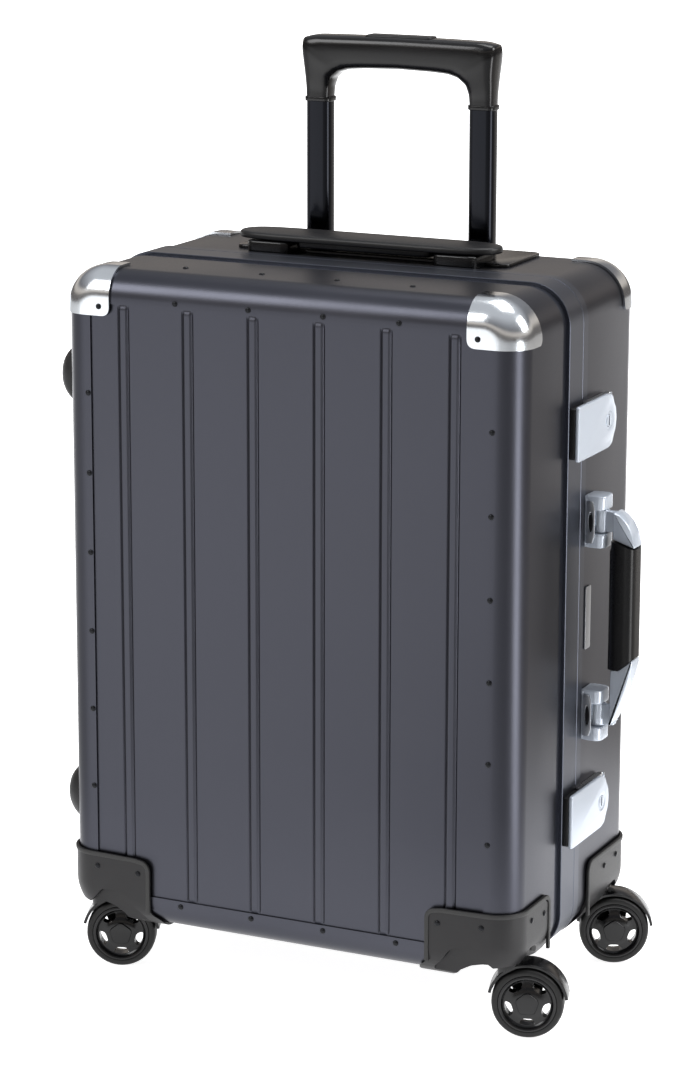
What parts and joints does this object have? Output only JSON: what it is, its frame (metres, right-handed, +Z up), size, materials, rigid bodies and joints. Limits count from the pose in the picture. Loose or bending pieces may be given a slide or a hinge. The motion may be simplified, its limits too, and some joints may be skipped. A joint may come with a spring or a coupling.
{
  "type": "wheeled suitcase",
  "caption": "Upright hard-shell metal suitcase: two ribbed shells hinged on a rail frame, toggle latches, swivelling wheels, telescopic pull handle, side and top carry handles.",
  "frame": {"origin": "on the floor under the centre of the whole object's bounding box, at rest on its wheels with the pull handle part raised", "axes": "+Z up; -Y is the ribbed front face and +Y the back face with the pull handle; +X is the side with latches and carry handle, -X the side with hinge and feet"},
  "size_m": [0.4236, 0.2297, 0.7114],
  "materials": {
    "anodised_shell": "satin blue-grey anodised sheet",
    "frame_rail": "satin anodised extrusion",
    "polished_alloy": "polished",
    "housing_plastic": "satin moulded",
    "black_plastic": "semi-gloss moulded",
    "black_tube": "gloss black anodised tube",
    "wheel_tyre": "smooth soft tread",
    "grip_cover": "smooth soft cover",
    "lining_cloth": "woven lining",
    "hinge_steel": "brushed"
  },
  "bodies": {
    "rear_shell": {"rear_band": "anodised_shell", "rear_panel": "anodised_shell", "rear_frame": "frame_rail", "rear_lining": "lining_cloth", "rear_cap_left": "polished_alloy", "rear_cap_right": "polished_alloy", "rear_housing_left": "housing_plastic", "rear_housing_right": "housing_plastic", "hinge_leaf_rear": "hinge_steel", "rear_foot_upper": "black_plastic", "rear_foot_lower": "black_plastic", "upper_latch_base": "polished_alloy", "lower_latch_base": "polished_alloy", "side_bracket_upper": "polished_alloy", "side_bracket_lower": "polished_alloy", "top_mount_left": "black_plastic", "top_mount_right": "black_plastic", "trolley_plate": "black_plastic", "trolley_outer_left": "black_tube", "trolley_outer_right": "black_tube"},
    "front_shell": {"front_band": "anodised_shell", "front_panel": "anodised_shell", "front_frame": "frame_rail", "front_lining": "lining_cloth", "divider": "lining_cloth", "front_cap_left": "polished_alloy", "front_cap_right": "polished_alloy", "front_housing_left": "housing_plastic", "front_housing_right": "housing_plastic", "hinge_leaf_front": "hinge_steel", "front_foot_upper": "black_plastic", "front_foot_lower": "black_plastic", "upper_latch_catch": "frame_rail", "lower_latch_catch": "frame_rail"},
    "upper_lever": {"upper_latch_lever": "polished_alloy"},
    "upper_key": {"upper_latch_key": "polished_alloy"},
    "lower_lever": {"lower_latch_lever": "polished_alloy"},
    "lower_key": {"lower_latch_key": "polished_alloy"},
    "side_handle": {"side_handle_bail": "polished_alloy", "side_handle_grip": "grip_cover"},
    "top_handle": {"top_handle_bar": "black_plastic"},
    "trolley_mid": {"trolley_mid_left": "black_tube", "trolley_mid_right": "black_tube"},
    "trolley_top": {"trolley_inner_left": "black_tube", "trolley_inner_right": "black_tube", "trolley_grip": "black_plastic"},
    "release_button": {"trolley_button": "black_plastic"},
    "front_left_caster": {"front_left_fork": "black_plastic"},
    "front_left_wheel": {"front_left_hub": "black_plastic", "front_left_tyre": "wheel_tyre"},
    "front_right_caster": {"front_right_fork": "black_plastic"},
    "front_right_wheel": {"front_right_hub": "black_plastic", "front_right_tyre": "wheel_tyre"},
    "rear_left_caster": {"rear_left_fork": "black_plastic"},
    "rear_left_wheel": {"rear_left_hub": "black_plastic", "rear_left_tyre": "wheel_tyre"},
    "rear_right_caster": {"rear_right_fork": "black_plastic"},
    "rear_right_wheel": {"rear_right_hub": "black_plastic", "rear_right_tyre": "wheel_tyre"}
  },
  "joints": [
    {"name": "lid_hinge", "type": "hinge", "parent": "rear_shell", "child": "front_shell", "pos_m": [-0.2028, -0.001, 0.298], "axis": [0, 0, -1], "range_deg": [0, 150]},
    {"name": "side_handle_swing", "type": "hinge", "parent": "rear_shell", "child": "side_handle", "pos_m": [0.1829, 0.0195, 0.296], "axis": [0, 0, 1], "range_deg": [-75, 75]},
    {"name": "top_handle_lift", "type": "slide", "parent": "rear_shell", "child": "top_handle", "axis": [0, 0, 1], "range_m": [0, 0.018]},
    {"name": "trolley_mid_slide", "type": "slide", "parent": "rear_shell", "child": "trolley_mid", "axis": [0, 0, 1], "range_m": [0, 0.19]},
    {"name": "trolley_top_slide", "type": "slide", "parent": "trolley_mid", "child": "trolley_top", "axis": [0, 0, 1], "range_m": [-0.105, 0.16]},
    {"name": "release_button_press", "type": "slide", "parent": "trolley_top", "child": "release_button", "axis": [0, 0, -1], "range_m": [0, 0.004], "stiffness_N_per_m": 300, "springref_m": -0.002},
    {"name": "upper_latch_lift", "type": "hinge", "parent": "rear_shell", "child": "upper_lever", "pos_m": [0.178, 0.045, 0.442], "axis": [0, 0, 1], "range_deg": [0, 95]},
    {"name": "upper_key_turn", "type": "hinge", "parent": "upper_lever", "child": "upper_key", "pos_m": [0.1784, 0.034, 0.442], "axis": [1, 0, 0], "range_deg": [0, 90]},
    {"name": "lower_latch_lift", "type": "hinge", "parent": "rear_shell", "child": "lower_lever", "pos_m": [0.178, 0.045, 0.148], "axis": [0, 0, 1], "range_deg": [0, 95]},
    {"name": "lower_key_turn", "type": "hinge", "parent": "lower_lever", "child": "lower_key", "pos_m": [0.1784, 0.034, 0.148], "axis": [1, 0, 0], "range_deg": [0, 90]},
    {"name": "front_left_swivel", "type": "hinge", "parent": "front_shell", "child": "front_left_caster", "pos_m": [-0.1836, -0.086, 0.06], "axis": [0, 0, 1], "continuous": true},
    {"name": "front_left_wheel_spin", "type": "hinge", "parent": "front_left_caster", "child": "front_left_wheel", "pos_m": [-0.17062, -0.08076, 0.027], "axis": [0.3746, -0.9272, 0], "continuous": true},
    {"name": "front_right_swivel", "type": "hinge", "parent": "front_shell", "child": "front_right_caster", "pos_m": [0.1584, -0.086, 0.06], "axis": [0, 0, 1], "continuous": true},
    {"name": "front_right_wheel_spin", "type": "hinge", "parent": "front_right_caster", "child": "front_right_wheel", "pos_m": [0.17171, -0.08167, 0.027], "axis": [0.309, -0.9511, 0], "continuous": true},
    {"name": "rear_left_swivel", "type": "hinge", "parent": "rear_shell", "child": "rear_left_caster", "pos_m": [-0.1836, 0.086, 0.06], "axis": [0, 0, 1], "continuous": true},
    {"name": "rear_left_wheel_spin", "type": "hinge", "parent": "rear_left_caster", "child": "rear_left_wheel", "pos_m": [-0.17014, 0.08986, 0.027], "axis": [0.2756, -0.9613, 0], "continuous": true},
    {"name": "rear_right_swivel", "type": "hinge", "parent": "rear_shell", "child": "rear_right_caster", "pos_m": [0.1584, 0.086, 0.06], "axis": [0, 0, 1], "continuous": true},
    {"name": "rear_right_wheel_spin", "type": "hinge", "parent": "rear_right_caster", "child": "rear_right_wheel", "pos_m": [0.17119, 0.09169, 0.027], "axis": [0.4067, -0.9135, 0], "continuous": true}
  ]
}
